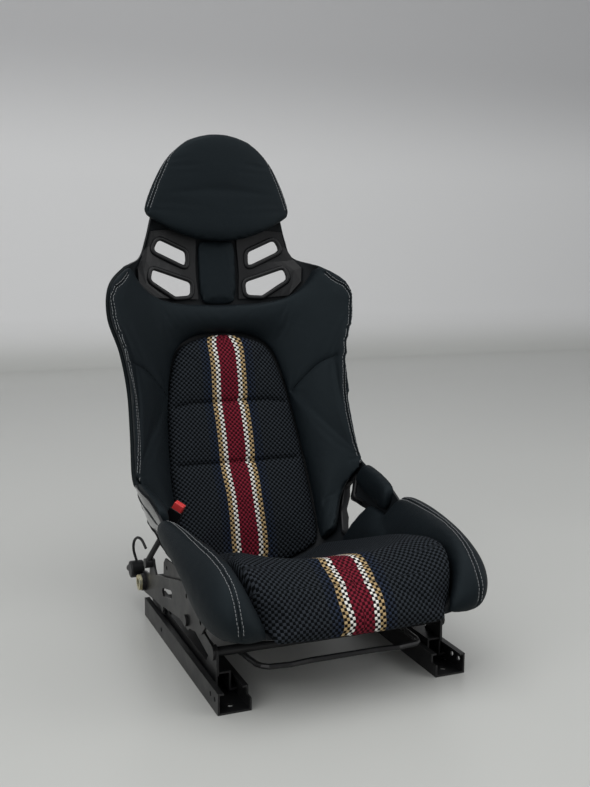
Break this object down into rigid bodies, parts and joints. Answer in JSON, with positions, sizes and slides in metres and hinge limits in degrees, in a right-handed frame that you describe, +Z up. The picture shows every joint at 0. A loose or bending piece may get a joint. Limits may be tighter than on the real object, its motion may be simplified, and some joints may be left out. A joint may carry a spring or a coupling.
{
  "type": "racing seat",
  "caption": "Bucket racing seat with leather covers and woven check inserts, harness slots, belt buckle, height linkage and floor runners",
  "frame": {"origin": "floor level under the middle of the seat's box", "axes": "+Z up, the occupant faces -Y, +X is the occupant's left"},
  "size_m": [0.536, 0.7813, 0.9653],
  "materials": {
    "leather": "satin",
    "weave": "woven check",
    "laminate": "gloss laminate",
    "moulded": "satin",
    "steel": "satin black",
    "zinc": "yellow zinc plate",
    "red": "satin"
  },
  "bodies": {
    "floor_rails": {"lower_rail_right": "steel", "lower_rail_left": "steel"},
    "slider": {"upper_rail_right": "steel", "upper_rail_left": "steel", "glide_inner_right": "moulded", "glide_inner_left": "moulded", "glide_outer_right": "moulded", "glide_outer_left": "moulded", "rail_pivot_bolt_right": "steel", "rail_pivot_bolt_left": "steel"},
    "rear_rocker": {"rear_rocker_right": "steel", "rear_rocker_left": "steel", "rear_torque_tube": "steel"},
    "front_rocker": {"front_rocker_right": "steel", "front_rocker_left": "steel", "front_cross_tube": "steel"},
    "release_bar": {"release_bar": "steel"},
    "buckle": {"buckle_housing": "moulded", "buckle_stalk": "steel"},
    "buckle_button": {"buckle_button": "red"},
    "seat": {"back_cover": "leather", "back_insert": "weave", "cable_loop": "moulded", "cushion": "weave", "cushion_bolster_left": "leather", "cushion_bolster_right": "leather", "front_pivot_bolt_left": "steel", "front_pivot_bolt_right": "steel", "harness_bezel_left": "moulded", "harness_bezel_right": "moulded", "head_pad": "leather", "height_motor": "moulded", "hip_cap_left": "leather", "hip_cap_right": "leather", "hub_bolt_left": "steel", "hub_bolt_right": "steel", "hub_ring": "zinc", "lap_slot_bezel_left": "moulded", "lap_slot_bezel_right": "moulded", "motor_plug": "moulded", "seat_shell": "laminate", "shell_adapter_left": "steel", "shell_adapter_right": "steel", "side_plate_left": "steel", "side_plate_right": "steel", "spine_pad": "leather"}
  },
  "joints": [
    {"name": "fore_aft", "type": "slide", "parent": "floor_rails", "child": "slider", "axis": [0, 1, 0], "range_m": [-0.085, 0.065]},
    {"name": "height_rear", "type": "hinge", "parent": "slider", "child": "rear_rocker", "pos_m": [0, 0.041, 0.05], "axis": [1, 0, 0], "range_deg": [0, 23]},
    {"name": "height_front", "type": "hinge", "parent": "slider", "child": "front_rocker", "pos_m": [0, -0.257, 0.078], "axis": [1, 0, 0], "range_deg": [0, 23]},
    {"name": "seat_level", "type": "hinge", "parent": "rear_rocker", "child": "seat", "pos_m": [0, 0.147, 0.068], "axis": [1, 0, 0], "range_deg": [-23, 0]},
    {"name": "release_bar", "type": "hinge", "parent": "slider", "child": "release_bar", "pos_m": [0, -0.213, 0.058], "axis": [-1, 0, 0], "range_deg": [0, 5], "stiffness_Nm_per_rad": 3},
    {"name": "buckle_swing", "type": "hinge", "parent": "seat", "child": "buckle", "pos_m": [-0.2355, 0.087, 0.126], "axis": [1, 0, 0], "range_deg": [-5, 5]},
    {"name": "buckle_press", "type": "slide", "parent": "buckle", "child": "buckle_button", "axis": [-0.409, 0.2815, -0.868], "range_m": [0, 0.004], "stiffness_N_per_m": 800}
  ],
  "couplings": [
    {"joint": "height_front", "follows": "height_rear", "ratio": 1},
    {"joint": "seat_level", "follows": "height_rear", "ratio": -1}
  ]
}
